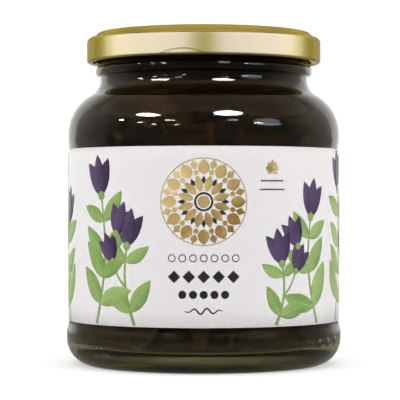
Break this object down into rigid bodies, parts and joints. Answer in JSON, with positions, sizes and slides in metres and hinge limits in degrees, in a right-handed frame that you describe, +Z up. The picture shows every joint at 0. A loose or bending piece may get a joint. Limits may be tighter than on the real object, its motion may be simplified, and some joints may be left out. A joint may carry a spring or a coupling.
{
  "type": "jar of black beans",
  "caption": "Shut round glass jar of cooked black beans in brine, with a pale gold twist-off metal lid and a paper label wrapped round its recessed panel.",
  "frame": {"origin": "middle of the jar's standing ring, on the surface that it stands on", "axes": "+Z up along the jar's axis, -Y towards the label's front, +X to the right seen from the front; the label's lap is at +Y"},
  "size_m": [0.0806, 0.0806, 0.0971],
  "materials": {
    "glass": "clear flint glass, fire-polished, smooth",
    "contents": "wet black beans in a murky dark brown brine",
    "lid_metal": "tinplate under a pale gold lacquer, satin gloss",
    "paper": "coated white label paper, printed, slight sheen"
  },
  "bodies": {
    "root": {"glass_jar": "glass", "beans_in_brine": "contents", "lid": "lid_metal", "label": "paper"}
  },
  "joints": []
}
